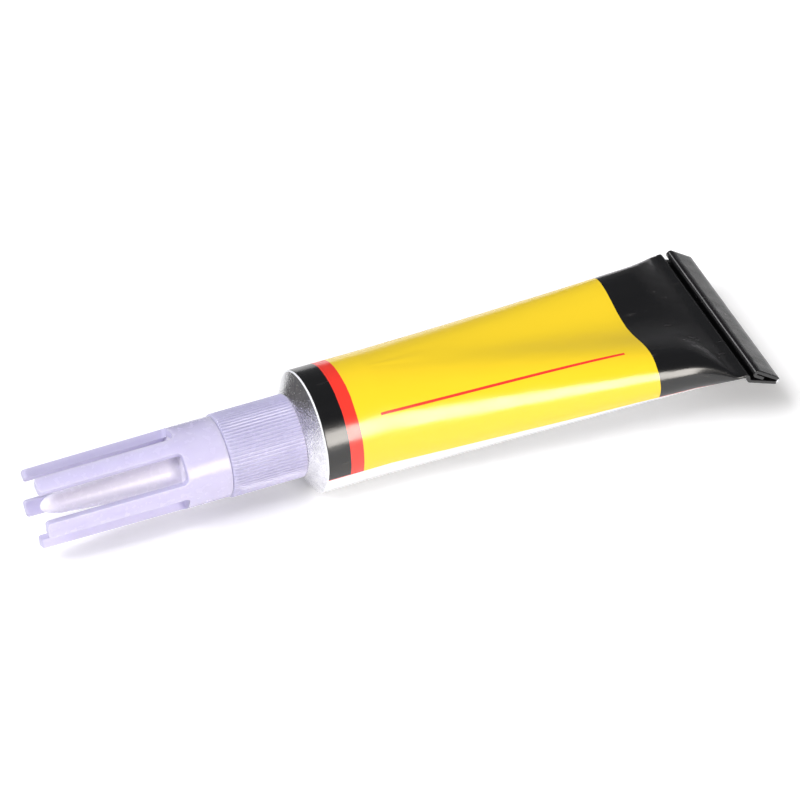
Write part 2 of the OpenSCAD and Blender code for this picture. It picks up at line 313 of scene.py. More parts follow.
@dataclass(frozen=True)
class PrintedEnamel:
    """Gloss enamel printed on the sleeve, with colour rings along the axis.

    The print ends at a straight edge on each side, beyond which the white base
    coat is bare until the black end zone closes round the tube.
    """

    name: str = "printed_enamel"
    black: Colour = (0.004, 0.004, 0.0045)
    red: Colour = (0.93, 0.042, 0.026)
    yellow: Colour = (0.95, 0.67, 0.02)
    white: Colour = (0.87, 0.88, 0.91)
    scuff: Colour = (0.10, 0.095, 0.09)
    black_from: float = -0.15
    red_from: float = 2.32
    yellow_from: float = 3.75
    end_from: float = 37.15
    closed_from: float = 44.8
    span: Pair = (-2.0, 52.0)
    print_way: float = 12.2
    fringe: float = 0.09
    rule_x: Pair = (6.5, 34.5)
    rule_way: Pair = (5.90, 5.66)
    rule_half: float = 0.15
    edge: Grain = Grain(2.5, detail=2.0)
    edge_wobble: float = 0.025
    strokes: Grain = Grain(0.5, (14.0, 1.0, 1.0), detail=4.0, shift=7.0)
    stroke_span: Pair = (0.60, 0.74)
    patches: Grain = Grain(3.5, shift=11.0)
    patch_span: Pair = (0.50, 0.68)
    scuff_share: float = 0.35
    scuff_rough: float = 0.14
    sheen: Grain = Grain(1.6, (3.0, 1.0, 1.0), shift=2.0)
    roughness: Pair = (0.17, 0.27)
    gloss: float = 0.8
    peel: Grain = Grain(0.22, (2.5, 1.0, 1.0), detail=2.0, shift=5.0)
    peel_relief: Pair = (0.005, 0.5)
    ripple: Grain = Grain(2.4, (2.5, 1.0, 1.0), detail=2.0, shift=9.0)
    ripple_relief: Pair = (0.022, 0.6)

    def place(self, x: float) -> float:
        """Share of the ramp's span at place x."""
        return (x - self.span[0]) / (self.span[1] - self.span[0])

    def rings(self, tree: FinishTree, at: Socket) -> tuple[Socket, ...]:
        """Colour of the rings and a mask of the black ones.

        Args:
            tree: Tree of the material.
            at: Share of the ramp's span at each point.

        Returns:
            Sockets with the colour and the mask.
        """
        full, none = (1.0, 1.0, 1.0), (0.0, 0.0, 0.0)
        start, red, yellow, end = map(
            self.place, (self.black_from, self.red_from, self.yellow_from, self.end_from)
        )
        inks = [
            (0.0, self.white),
            (start, self.black),
            (red, self.red),
            (yellow, self.yellow),
            (end, self.black),
        ]
        mask = [(0.0, none), (start, full), (red, none), (end, full)]
        return tree.ramp(at, inks, Course.STEP), tree.ramp(at, mask, Course.STEP)

    def rule(self, tree: FinishTree, x: Socket, way: Socket) -> Socket:
        """Mask of the plain rule that runs along the near side.

        Args:
            tree: Tree of the material.
            x: Place along the axis in metres.
            way: Way round from the top in millimetres.

        Returns:
            Socket with 1 on the rule.
        """
        start, end = self.rule_x
        middle = tree.spread(x, (start * MM, end * MM), self.rule_way)
        aside = tree.math("SUBTRACT", way, middle)
        across = tree.within(aside, -self.rule_half, self.rule_half)
        return tree.math("MULTIPLY", across, tree.within(x, start * MM, end * MM))

    def printed(self, tree: FinishTree) -> tuple[Socket, Socket]:
        """Printed colour and a mask of the black rings.

        Args:
            tree: Tree of the material.

        Returns:
            Sockets with the colour and the mask.
        """
        x = tree.along("X")
        shift = self.edge_wobble * MM
        wobble = tree.spread(tree.grain(self.edge), NOISE_SPAN, (-shift, shift))
        limits = (self.span[0] * MM, self.span[1] * MM)
        at = tree.spread(tree.math("ADD", x, wobble), limits, UNIT_SPAN)
        rings, is_black = self.rings(tree, at)
        way = tree.add("ShaderNodeAttribute", attribute_name="way").outputs["Fac"]
        ruled = tree.mix(self.rule(tree, x, way), rings, self.red)

        round_way = tree.math("ABSOLUTE", way)
        open_side = tree.math("LESS_THAN", x, self.closed_from * MM)
        past = tree.math("GREATER_THAN", round_way, self.print_way)
        fringe = tree.math("MULTIPLY", tree.math("MULTIPLY", past, open_side), is_black)
        clear = tree.math("GREATER_THAN", round_way, self.print_way + self.fringe)
        bare = tree.math("MULTIPLY", clear, open_side)
        return tree.mix(bare, tree.mix(fringe, ruled, self.red), self.white), is_black

    def material(self) -> Material:
        """Build the material.

        Returns:
            The finished material, which reads the mesh's attribute "way".
        """
        tree = FinishTree(self.name)
        printed, is_black = self.printed(tree)
        strokes = tree.spread(tree.grain(self.strokes), self.stroke_span, UNIT_SPAN)
        patches = tree.spread(tree.grain(self.patches), self.patch_span, UNIT_SPAN)
        worn = tree.math("MULTIPLY", tree.math("MULTIPLY", strokes, patches), is_black)
        colour = tree.mix(tree.math("MULTIPLY", worn, self.scuff_share), printed, self.scuff)
        sheen = tree.spread(tree.grain(self.sheen), NOISE_SPAN, self.roughness)
        rough = tree.math("ADD", sheen, tree.math("MULTIPLY", worn, self.scuff_rough))
        peel = tree.bump(tree.grain(self.peel), *self.peel_relief)
        ripple = tree.bump(tree.grain(self.ripple), *self.ripple_relief, peel)
        tree.set(Base_Color=colour, Roughness=rough, Normal=ripple)
        tree.set(Specular_IOR_Level=self.gloss)
        return tree.material


@dataclass(frozen=True)
class BareAluminium:
    """Bare metal of the pressed shoulder and of the cut edges."""

    name: str = "bare_aluminium"
    light: Colour = (0.93, 0.93, 0.94)
    dull: Colour = (0.66, 0.66, 0.68)
    cloud: Grain = Grain(0.9, detail=4.0)
    speck: Grain = Grain(0.2, shift=3.0)
    tone_span: Pair = (0.12, 0.36)
    roughness: Pair = (0.12, 0.28)
    relief: Pair = (0.06, 0.7)

    def material(self) -> Material:
        """Build the material.

        Returns:
            The finished material.
        """
        tree = FinishTree(self.name)
        speck = tree.grain(self.speck)
        tone = tree.math("MULTIPLY", tree.grain(self.cloud), speck)
        colour = tree.ramp(tone, list(zip(self.tone_span, (self.dull, self.light))))
        rough = tree.spread(speck, NOISE_SPAN, self.roughness)
        pits = tree.bump(speck, *self.relief)
        tree.set(Base_Color=colour, Metallic=1.0, Roughness=rough, Normal=pits)
        return tree.material


@dataclass(frozen=True)
class NaturalPolyethylene:
    """Milky natural plastic with a faint lilac cast and light turning marks."""

    name: str
    milk: Colour = (0.64, 0.61, 0.82)
    deep: Colour = (0.61, 0.575, 0.79)
    cloud: Grain = Grain(2.4)
    sheen: Grain = Grain(0.7, shift=8.0)
    roughness: Pair = (0.20, 0.30)
    mark_pitch: float = 0.16
    mark_stretch: Point = (1.0, 60.0, 60.0)
    mark_depth: float = 0.006
    mark_share: float = 0.6
    scatter: float = 0.6
    scatter_tint: Point = (1.0, 0.94, 1.1)
    scatter_depth: float = 1.0
    ior: float = 1.51
    gloss: float = 0.5

    def material(self) -> Material:
        """Build the material.

        Returns:
            The finished material.
        """
        tree = FinishTree(self.name)
        cloud = tree.spread(tree.grain(self.cloud), NOISE_SPAN, UNIT_SPAN)
        marks = tree.grain(Grain(self.mark_pitch, self.mark_stretch, detail=2.0, shift=6.0))
        turned = tree.bump(marks, self.mark_depth, self.mark_share)
        rough = tree.spread(tree.grain(self.sheen), NOISE_SPAN, self.roughness)
        tree.set(Base_Color=tree.mix(cloud, self.milk, self.deep), Roughness=rough, Normal=turned)
        tree.set(Subsurface_Weight=self.scatter, Subsurface_Radius=self.scatter_tint)
        tree.set(Subsurface_Scale=self.scatter_depth * MM)
        tree.set(IOR=self.ior, Specular_IOR_Level=self.gloss)
        return tree.material


@dataclass(frozen=True)
class SealLatex:
    """Dried latex band inside the folded end."""

    name: str = "seal_latex"
    pale: Colour = (0.82, 0.74, 0.52)
    dark: Colour = (0.62, 0.52, 0.33)
    cloud: Grain = Grain(0.8, detail=4.0)
    tone_span: Pair = (0.35, 0.7)
    roughness: Pair = (0.45, 0.7)
    relief: float = 0.02

    def material(self) -> Material:
        """Build the material.

        Returns:
            The finished material.
        """
        tree = FinishTree(self.name)
        cloud = tree.grain(self.cloud)
        colour = tree.ramp(cloud, list(zip(self.tone_span, (self.pale, self.dark))))
        rough = tree.spread(cloud, NOISE_SPAN, self.roughness)
        tree.set(Base_Color=colour, Roughness=rough, Normal=tree.bump(cloud, self.relief))
        return tree.material


@dataclass(frozen=True)
class ClearAdhesive:
    """Clear thin liquid that fills the sleeve."""

    name: str = "clear_adhesive"
    tint: Colour = (0.93, 0.96, 0.97)
    shade: Colour = (0.88, 0.93, 0.95)
    cloud: Grain = Grain(3.0, detail=2.0)
    roughness: Pair = (0.02, 0.06)
    clarity: float = 0.9
    ior: float = 1.45

    def material(self) -> Material:
        """Build the material.

        Returns:
            The finished material.
        """
        tree = FinishTree(self.name)
        cloud = tree.grain(self.cloud)
        tree.set(Base_Color=tree.mix(cloud, self.tint, self.shade))
        tree.set(Roughness=tree.spread(cloud, NOISE_SPAN, self.roughness))
        tree.set(Transmission_Weight=self.clarity, IOR=self.ior)
        return tree.material


@dataclass(frozen=True)
class DarkPaper:
    """Matt dark paper of the cards round the tube."""

    name: str = "dark_paper"
    tone: Colour = (0.17, 0.17, 0.175)
    shade: Colour = (0.14, 0.14, 0.145)
    cloud: Grain = Grain(8.0)
    roughness: float = 0.9
    gloss: float = 0.1

    def material(self) -> Material:
        """Build the material.

        Returns:
            The finished material.
        """
        tree = FinishTree(self.name)
        tree.set(Base_Color=tree.mix(tree.grain(self.cloud), self.tone, self.shade))
        tree.set(Roughness=self.roughness, Specular_IOR_Level=self.gloss)
        return tree.material


@dataclass(frozen=True)
class StudioPaper:
    """White paper of the floor that the tube lies on."""

    name: str = "studio_paper"
    white: Colour = (0.96, 0.96, 0.96)
    shade: Colour = (0.94, 0.94, 0.945)
    cloud: Grain = Grain(30.0, detail=2.0)
    roughness: float = 0.9
    gloss: float = 0.1
    glow: float = 0.2

    def material(self) -> Material:
        """Build the material.

        Returns:
            The finished material.
        """
        tree = FinishTree(self.name)
        tree.set(Base_Color=tree.mix(tree.grain(self.cloud), self.white, self.shade))
        tree.set(Roughness=self.roughness, Specular_IOR_Level=self.gloss)
        rays = tree.add("ShaderNodeLightPath").outputs
        seen = tree.math("MAXIMUM", rays["Is Camera Ray"], rays["Is Glossy Ray"])
        shown = tree.math("MAXIMUM", seen, rays["Is Transmission Ray"])
        tree.set(Emission_Color=(1.0, 1.0, 1.0, 1.0))
        tree.set(Emission_Strength=tree.math("MULTIPLY", shown, self.glow))
        return tree.material


@dataclass
class Grid:
    """Mesh under construction: points in millimetres, faces and their finishes."""

    points: list[Point] = field(default_factory=list)
    faces: list[tuple[int, ...]] = field(default_factory=list)
    finish: list[int] = field(default_factory=list)

    def row(self, points: Sequence[Point]) -> list[int]:
        """Add points.

        Args:
            points: Places in millimetres.

        Returns:
            Their numbers.
        """
        first = len(self.points)
        self.points.extend(points)
        return list(range(first, len(self.points)))

    def face(self, corners: Sequence[int], finish: int = 0) -> None:
        """Add one face with a finish number."""
        self.faces.append(tuple(corners))
        self.finish.append(finish)

    def band(
        self, a: Sequence[int], b: Sequence[int], finish: int = 0, closed: bool = True
    ) -> None:
        """Join two rows of equal length with four-sided faces.

        Args:
            a: First row.
            b: Second row.
            finish: Finish number of the faces.
            closed: Whether the last point joins the first.
        """
        count = len(a)
        for i in range(count if closed else count - 1):
            k = (i + 1) % count
            self.face((a[i], a[k], b[k], b[i]), finish)

    def fan(self, row: Sequence[int], tip: int, finish: int = 0) -> None:
        """Close a ring to one point."""
        for i, start in enumerate(row):
            self.face((start, row[(i + 1) % len(row)], tip), finish)

    def build(self, name: str, materials: Sequence[Material], crease: float = CREASE) -> Piece:
        """Make the object, in metres, with outward normals.

        Args:
            name: Name of the piece.
            materials: Materials by finish number.
            crease: Angle in degrees above which an edge stays sharp.

        Returns:
            The linked object.
        """
        mesh = bpy.data.meshes.new(name)
        mesh.from_pydata([Vector(p) * MM for p in self.points], [], self.faces)
        mesh.polygons.foreach_set("material_index", self.finish)
        work = bmesh.new()
        work.from_mesh(mesh)
        bmesh.ops.recalc_face_normals(work, faces=work.faces)
        work.to_mesh(mesh)
        work.free()
        for material in materials:
            mesh.materials.append(material)
        smooth(mesh, crease)
        made = bpy.data.objects.new(name, mesh)
        bpy.context.scene.collection.objects.link(made)
        return made


def smooth(mesh: bpy.types.Mesh, crease: float) -> None:
    """Shade a mesh smooth apart from edges above an angle.

    Args:
        mesh: Mesh to shade.
        crease: Angle in degrees.
    """
    mesh.shade_smooth()
    mesh.set_sharp_from_angle(angle=math.radians(crease))


def applied(made: Piece, crease: float = CREASE) -> Piece:
    """Turn an object's modifiers into plain mesh.

    Args:
        made: Object whose modifiers are taken up.
        crease: Angle in degrees above which an edge stays sharp.

    Returns:
        The same object with a plain mesh.
    """
    depsgraph = bpy.context.evaluated_depsgraph_get()
    mesh = bpy.data.meshes.new_from_object(made.evaluated_get(depsgraph))
    made.modifiers.clear()
    made.data = mesh
    mesh.name = made.name
    smooth(mesh, crease)
    return made


def clamped(value: float) -> float:
    """Value held between 0 and 1."""
    return max(0.0, min(1.0, value))


def turned_point(x: float, r: float, angle: float) -> Point:
    """Point at radius r about the axis, angle in degrees from -Y towards +Z."""
    a = math.radians(angle)
    return (x, -r * math.cos(a), r * math.sin(a))


def arc(centre: Pair, r: float, angles: Pair, steps: int) -> list[Pair]:
    """Points of a round stretch in a profile.

    Args:
        centre: Radius and place of the arc's centre.
        r: Radius of the arc.
        angles: First and last angle in degrees.
        steps: Number of steps.

    Returns:
        Pairs of radius and place.
    """
    made = []
    start, end = angles
    for i in range(steps + 1):
        a = math.radians(start + (end - start) * i / steps)
        made.append((centre[0] + r * math.cos(a), centre[1] + r * math.sin(a)))
    return made


class RingArray:
    """Geometry Nodes tree that repeats a sector about the X axis and welds it."""

    INPUTS = {
        "Sector": "NodeSocketGeometry",
        "Count": "NodeSocketInt",
        "Weld distance": "NodeSocketFloat",
        "Finish": "NodeSocketMaterial",
    }
    NODES = {
        "given": "NodeGroupInput",
        "points": "GeometryNodePoints",
        "index": "GeometryNodeInputIndex",
        "share": "ShaderNodeMath",
        "turn": "ShaderNodeMath",
        "angles": "ShaderNodeCombineXYZ",
        "euler": "FunctionNodeEulerToRotation",
        "copies": "GeometryNodeInstanceOnPoints",
        "real": "GeometryNodeRealizeInstances",
        "welded": "GeometryNodeMergeByDistance",
        "dressed": "GeometryNodeSetMaterial",
        "result": "NodeGroupOutput",
    }
    LINKS = (
        ("given", "Count", "points", "Count"),
        ("index", 0, "share", 0),
        ("given", "Count", "share", 1),
        ("share", 0, "turn", 0),
        ("turn", 0, "angles", "X"),
        ("angles", 0, "euler", 0),
        ("points", 0, "copies", "Points"),
        ("given", "Sector", "copies", "Instance"),
        ("euler", 0, "copies", "Rotation"),
        ("copies", 0, "real", 0),
        ("real", 0, "welded", "Geometry"),
        ("given", "Weld distance", "welded", "Distance"),
        ("welded", 0, "dressed", "Geometry"),
        ("given", "Finish", "dressed", "Material"),
        ("dressed", 0, "result", 0),
    )

    def __init__(self) -> None:
        """Build the tree with its named inputs."""
        self.tree = bpy.data.node_groups.new("ring_array", "GeometryNodeTree")
        face = self.tree.interface
        self.entries = {
            name: face.new_socket(name, in_out="INPUT", socket_type=kind)
            for name, kind in self.INPUTS.items()
        }
        face.new_socket("Ring", in_out="OUTPUT", socket_type="NodeSocketGeometry")
        nodes = {name: self.tree.nodes.new(kind) for name, kind in self.NODES.items()}
        nodes["share"].operation = "DIVIDE"
        nodes["turn"].operation = "MULTIPLY"
        nodes["turn"].inputs[1].default_value = math.tau
        for source, output, target, entry in self.LINKS:
            self.tree.links.new(nodes[source].outputs[output], nodes[target].inputs[entry])

    def repeat(
        self, sector: Piece, count: int, finish: Material, crease: float = CREASE
    ) -> Piece:
        """Repeat a sector and weld the copies into one plain mesh.

        Args:
            sector: Object with one sector's mesh.
            count: Number of copies round the axis.
            finish: Material of the result.
            crease: Angle in degrees above which an edge stays sharp.

        Returns:
            The same object with the whole ring.
        """
        modifier = sector.modifiers.new("ring", "NODES")
        modifier.node_group = self.tree
        values = {"Count": count, "Weld distance": WELD * MM, "Finish": finish}
        for name, value in values.items():
            modifier[self.entries[name].identifier] = value
        return applied(sector, crease)


@dataclass(frozen=True)
class Stations:
    """Sizes in millimetres that the pieces share, as the solids have them."""

    sleeve_r: float = 6.75
    round_len: float = 7.0
    taper_len: float = 38.5
    taper_power: float = 1.2
    side_end_r: float = 1.95
    side_close_len: float = 4.5
    end_lift: float = 0.25
    end_spread: float = 0.05
    web_half: float = 0.22
    web_len: float = 1.0
    lap: float = 0.3
    rim_round: float = 0.3
    shoulder_angle: float = 32.0
    neck_r: float = 3.45
    neck_len: float = 5.2
    neck_clear: float = 0.06
    collar_r: float = 4.56
    collar_len: float = 8.4
    spout_base_r: float = 1.95
    spout_tip_r: float = 0.85
    spout_len: float = 15.1
    cap_r: float = 4.39
    cap_gap: float = 0.05

    @property
    def web_x(self) -> float:
        """Place where the sleeve is flat."""
        return self.round_len + self.taper_len

    @property
    def fold_x(self) -> float:
        """Place where the fold starts."""
        return self.web_x + self.web_len

    @property
    def seat_gap(self) -> float:
        """Gap between shoulder and collar along the axis."""
        return self.neck_clear / math.cos(math.radians(self.shoulder_angle))

    @property
    def neck_x(self) -> float:
        """Place of the neck's front."""
        return self.shoulder_x(self.neck_r) - self.neck_len

    @property
    def collar_back_x(self) -> float:
        """Place of the collar's back edge."""
        return self.shoulder_x(self.collar_r) - self.seat_gap

    @property
    def collar_front_x(self) -> float:
        """Place of the collar's front face."""
        return self.collar_back_x - self.collar_len

    @property
    def spout_tip_x(self) -> float:
        """Place of the spout's tip."""
        return self.collar_front_x - self.spout_len

    @property
    def cap_back_x(self) -> float:
        """Place of the cap's back edge."""
        return self.collar_front_x - self.cap_gap

    def shoulder_x(self, r: float) -> float:
        """Place of the shoulder's face.

        Args:
            r: Radius about the axis.

        Returns:
            Place along the axis at that radius.
        """
        slope = math.radians(self.shoulder_angle)
        rim_x = -self.rim_round * math.cos(slope)
        rim_r = self.sleeve_r - self.rim_round + self.rim_round * math.sin(slope)
        return rim_x - (rim_r - r) * math.tan(slope)

    def spout_r(self, x: float) -> float:
        """Radius of the spout's outside at place x."""
        fall = (self.spout_base_r - self.spout_tip_r) / self.spout_len
        return self.spout_base_r - fall * (self.collar_front_x - x)

    def taper_share(self, x: float) -> float:
        """Share of the taper passed at place x."""
        return clamped((x - self.round_len) / self.taper_len)

    def section(self, x: float) -> "Section":
        """Section of the sleeve.

        Args:
            x: Place along the axis.

        Returns:
            The section there.
        """
        share = self.taper_share(x)
        flat = share**self.taper_power
        middle = self.sleeve_r - (self.sleeve_r - self.web_half) * flat
        wedge = self.sleeve_r - (self.sleeve_r - self.side_end_r) * share
        closed = clamped((x - self.web_x) / self.side_close_len + 1.0)
        side = self.web_half + (wedge - self.web_half) * (1.0 - closed**2)
        half = math.pi / 2 * (self.sleeve_r - side) * (1 + self.end_spread * flat)
        return Section(middle, side, half, self.end_lift * share**2)


@dataclass(frozen=True)
class Section:
    """Section of the sleeve.

    The middle is the half height there, the side is the radius of both sides, half
    is the half width between them, and lift is the height of the section's centre.
    """

    middle: float
    side: float
    half: float
    lift: float

    @property
    def girth(self) -> float:
        """Way round the section."""
        return math.tau * self.side + 4 * self.half

    def upper(self, y: float) -> Pair:
        """Sunken stretch between the sides.

        Args:
            y: Place across, from the middle.

        Returns:
            Height and slope there.
        """
        turn = math.pi / 2 * y / self.half
        rise = self.side - self.middle
        slope = rise * math.pi / 2 / self.half * math.sin(2 * turn)
        return self.middle + rise * math.sin(turn) ** 2, slope

    def point(self, way: float) -> tuple[float, float, float, float]:
        """Point a way round from the top, and its outward normal.

        Args:
            way: Way in millimetres, positive towards -Y.

        Returns:
            Y and Z of the point, then Y and Z of the normal.
        """
        hand = -1.0 if way >= 0 else 1.0
        gone = abs(way)
        bend = math.pi * self.side
        if self.half > 0 and gone <= self.half:
            z, slope = self.upper(gone)
            y, ny, nz = gone, -slope, 1.0
        elif gone <= self.half + bend:
            a = (gone - self.half) / self.side
            ny, nz = math.sin(a), math.cos(a)
            y, z = self.half + self.side * ny, self.side * nz
        else:
            y = max(0.0, 2 * self.half + bend - gone)
            z, slope = self.upper(y)
            z, ny, nz = -z, -slope, -1.0
        size = math.hypot(ny, nz)
        return hand * y, self.lift + z, hand * ny / size, nz / size


STATIONS = Stations()


@dataclass
class Sleeve:
    """Drawn aluminium sleeve with its shoulder, neck and closing foil."""

    sizes: Stations = STATIONS
    columns: int = 240
    ring_pitch: float = 0.4
    end_back: float = 0.05
    bare_to: float = -0.25
    skin: float = 0.007
    crease: float = 50.0
    foil_in: float = 1.2
    neck_lip: tuple[Pair, ...] = ((0.2, 0.0), (0.06, 0.06), (0.0, 0.2))
    neck_foot: float = 0.1
    rim_steps: int = 9
    slope_steps: int = 14
    dent_depth: float = 0.035
    dent_from: float = 5.0
    dent_rise: float = 9.0
    dent_fall: float = 6.0
    dent_mix: Point = (0.5, 0.6, 0.35)
    wide_pitch: Pair = (0.16, 0.3)
    fine_pitch: Pair = (0.45, 0.8)
    fine_shift: float = 9.0
    pucker_depth: float = 0.05
    pucker_back: float = 2.2
    pucker_half: float = 3.2
    pucker_pitch: Pair = (0.4, 1.1)
    pucker_shift: float = 3.0

    def dent(self, x: float, y: float, z: float) -> float:
        """Depth by which handling has pressed the wall in at a point.

        Args:
            x: Place along the axis.
            y: Place across.
            z: Height.

        Returns:
            Depth in millimetres, never negative.
        """
        start = clamped((x - self.dent_from) / self.dent_rise)
        end = clamped((self.sizes.web_x - x) / self.dent_fall)
        along, round_by = self.wide_pitch
        wide = noise.noise(Vector((x * along, y * round_by, z * round_by)))
        along, round_by = self.fine_pitch
        fine = noise.noise(Vector((x * along + self.fine_shift, y * round_by, z * round_by)))
        base, wide_share, fine_share = self.dent_mix
        soft = max(0.0, base + wide_share * wide + fine_share * fine)
        along, across = self.pucker_pitch
        pucker = max(0.0, noise.noise(Vector((x * along, y * across + self.pucker_shift, 0.0))))
        from_row = abs(x - self.sizes.web_x + self.pucker_back)
        near_fold = max(0.0, 1.0 - from_row / self.pucker_half)
        return self.dent_depth * start * end * soft + self.pucker_depth * near_fold * pucker

    def front_profile(self) -> list[Pair]:
        """Rings from the foil over the shoulder to the rim.

        Returns:
            Radius and place of each ring.
        """
        z = self.sizes
        turn = (z.shoulder_angle - 90.0, 0.0)
        rim = arc((z.sleeve_r - z.rim_round, 0.0), z.rim_round, turn, self.rim_steps)
        steps, rise = self.slope_steps, rim[0][0] - z.neck_r
        slope = [z.neck_r + rise * i / steps for i in range(1, steps)]
        return [
            (z.neck_r - self.foil_in, z.neck_x),
            *[(z.neck_r - in_by, z.neck_x + back) for in_by, back in self.neck_lip],
            (z.neck_r, z.shoulder_x(z.neck_r) - self.neck_foot),
            *[(r, z.shoulder_x(r)) for r in slope],
            *rim,
        ]

    def build(self, enamel: Material, metal: Material) -> Piece:
        """Make the closed skin of neck, shoulder and sleeve.

        Args:
            enamel: Finish of the printed sleeve.
            metal: Finish of the bare shoulder and neck.

        Returns:
            The piece, with the way round from the top in its attribute "way".
        """
        grid = Grid()
        bare, printed = 0, 1
        ways, rows, places = [], [], []
        shares = [0.5 - i / self.columns for i in range(self.columns)]
        tip = grid.row([(self.sizes.neck_x, 0.0, 0.0)])[0]
        ways.append(0.0)
        for r, x in self.front_profile():
            ring = []
            for share in shares:
                a = math.tau * share
                ring.append((x, -(r - self.skin) * math.sin(a), (r - self.skin) * math.cos(a)))
                ways.append(a * self.sizes.sleeve_r)
            rows.append(grid.row(ring))
            places.append(x)
        last = self.sizes.fold_x - self.end_back
        steps = round(last / self.ring_pitch)
        for j in range(1, steps + 1):
            x = last * j / steps
            section = self.sizes.section(x)
            ring = []
            for share in shares:
                way = share * section.girth
                y, z, ny, nz = section.point(way)
                in_by = self.skin + self.dent(x, y, z)
                ring.append((x, y - ny * in_by, z - nz * in_by))
                ways.append(way)
            rows.append(grid.row(ring))
            places.append(x)
        grid.fan(rows[0], tip, bare)
        for j in range(len(rows) - 1):
            middle = (places[j] + places[j + 1]) / 2
            grid.band(rows[j], rows[j + 1], printed if middle > self.bare_to else bare)
        end = grid.row([(last, 0.0, self.sizes.end_lift)])[0]
        ways.append(0.0)
        grid.fan(rows[-1], end, printed)
        made = grid.build("sleeve", [metal, enamel], self.crease)
        made.data.attributes.new("way", "FLOAT", "POINT").data.foreach_set("value", ways)
        return made


@dataclass
class AdhesiveFill:
    """Liquid in the sleeve, level on top as the tube lies, with air above it."""

    sizes: Stations = STATIONS
    inset: float = 0.4
    clear: float = 0.15
    front_x: float = 0.51
    seal_len: float = 2.4
    level: float = 1.0
    columns: int = 96
    ring_pitch: float = 0.8

    @property
    def back_x(self) -> float:
        """Place of the rear end, in front of the seal."""
        z = self.sizes
        return z.fold_x - z.lap - z.web_half - self.seal_len - 2 * self.clear

    def ring(self, x: float) -> list[Point]:
        """Points round the liquid at place x.

        Args:
            x: Place along the axis.

        Returns:
            Points inside the wall, none of them above the level.
        """
        section = self.sizes.section(x)
        points = []
        for i in range(self.columns):
            y, z, ny, nz = section.point((0.5 - i / self.columns) * section.girth)
            points.append((x, y - ny * self.inset, min(z - nz * self.inset, self.level)))
        return points

    def build(self, liquid: Material) -> Piece:
        """Make the closed body of liquid.

        Args:
            liquid: Finish of the liquid.

        Returns:
            The piece.
        """
        grid = Grid()
        length = self.back_x - self.front_x
        steps = round(length / self.ring_pitch)
        places = [self.front_x + length * j / steps for j in range(steps + 1)]
        rows = [grid.row(self.ring(x)) for x in places]
        for before, after in zip(rows, rows[1:]):
            grid.band(before, after)
        for x, row in ((places[0], rows[0]), (places[-1], rows[-1])):
            grid.fan(row, grid.row([(x, 0.0, self.sizes.section(x).lift)])[0])
        return grid.build("liquid", [liquid])


@dataclass(frozen=True)
class FoldRun:
    """One run of the folded strip: a straight stretch and the bend at its end."""

    length: float
    turn: float
    radius: float


